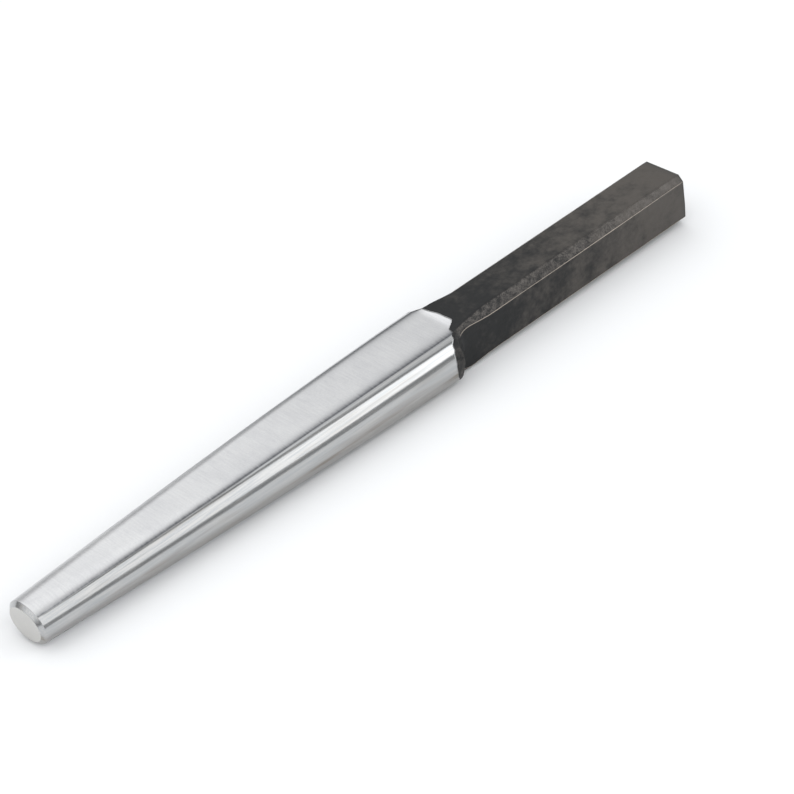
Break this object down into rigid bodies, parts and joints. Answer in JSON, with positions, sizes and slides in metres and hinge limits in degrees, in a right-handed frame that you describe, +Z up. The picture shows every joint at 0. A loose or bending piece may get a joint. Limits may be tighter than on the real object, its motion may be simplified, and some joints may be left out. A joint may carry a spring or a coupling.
{
  "type": "eye drift",
  "caption": "Forged steel drift with a ground oval taper for opening the eye of a hammer or axe, and a bevelled square shank that is struck.",
  "frame": {"origin": "under the middle of the length, on the centreline, at the height of the surface that the shank's underside rests on", "axes": "+X along the centreline from the tip to the struck end, +Y across the wide side of the oval, +Z up, square to the two flats"},
  "size_m": [0.362, 0.038, 0.0242],
  "materials": {
    "ground_steel": "belt ground, satin on the flats and bright on the rounded sides",
    "forge_scale": "black forge scale, matt to satin"
  },
  "bodies": {
    "root": {"working_taper": "ground_steel", "shoulder": "forge_scale", "shank": "forge_scale"}
  },
  "joints": []
}
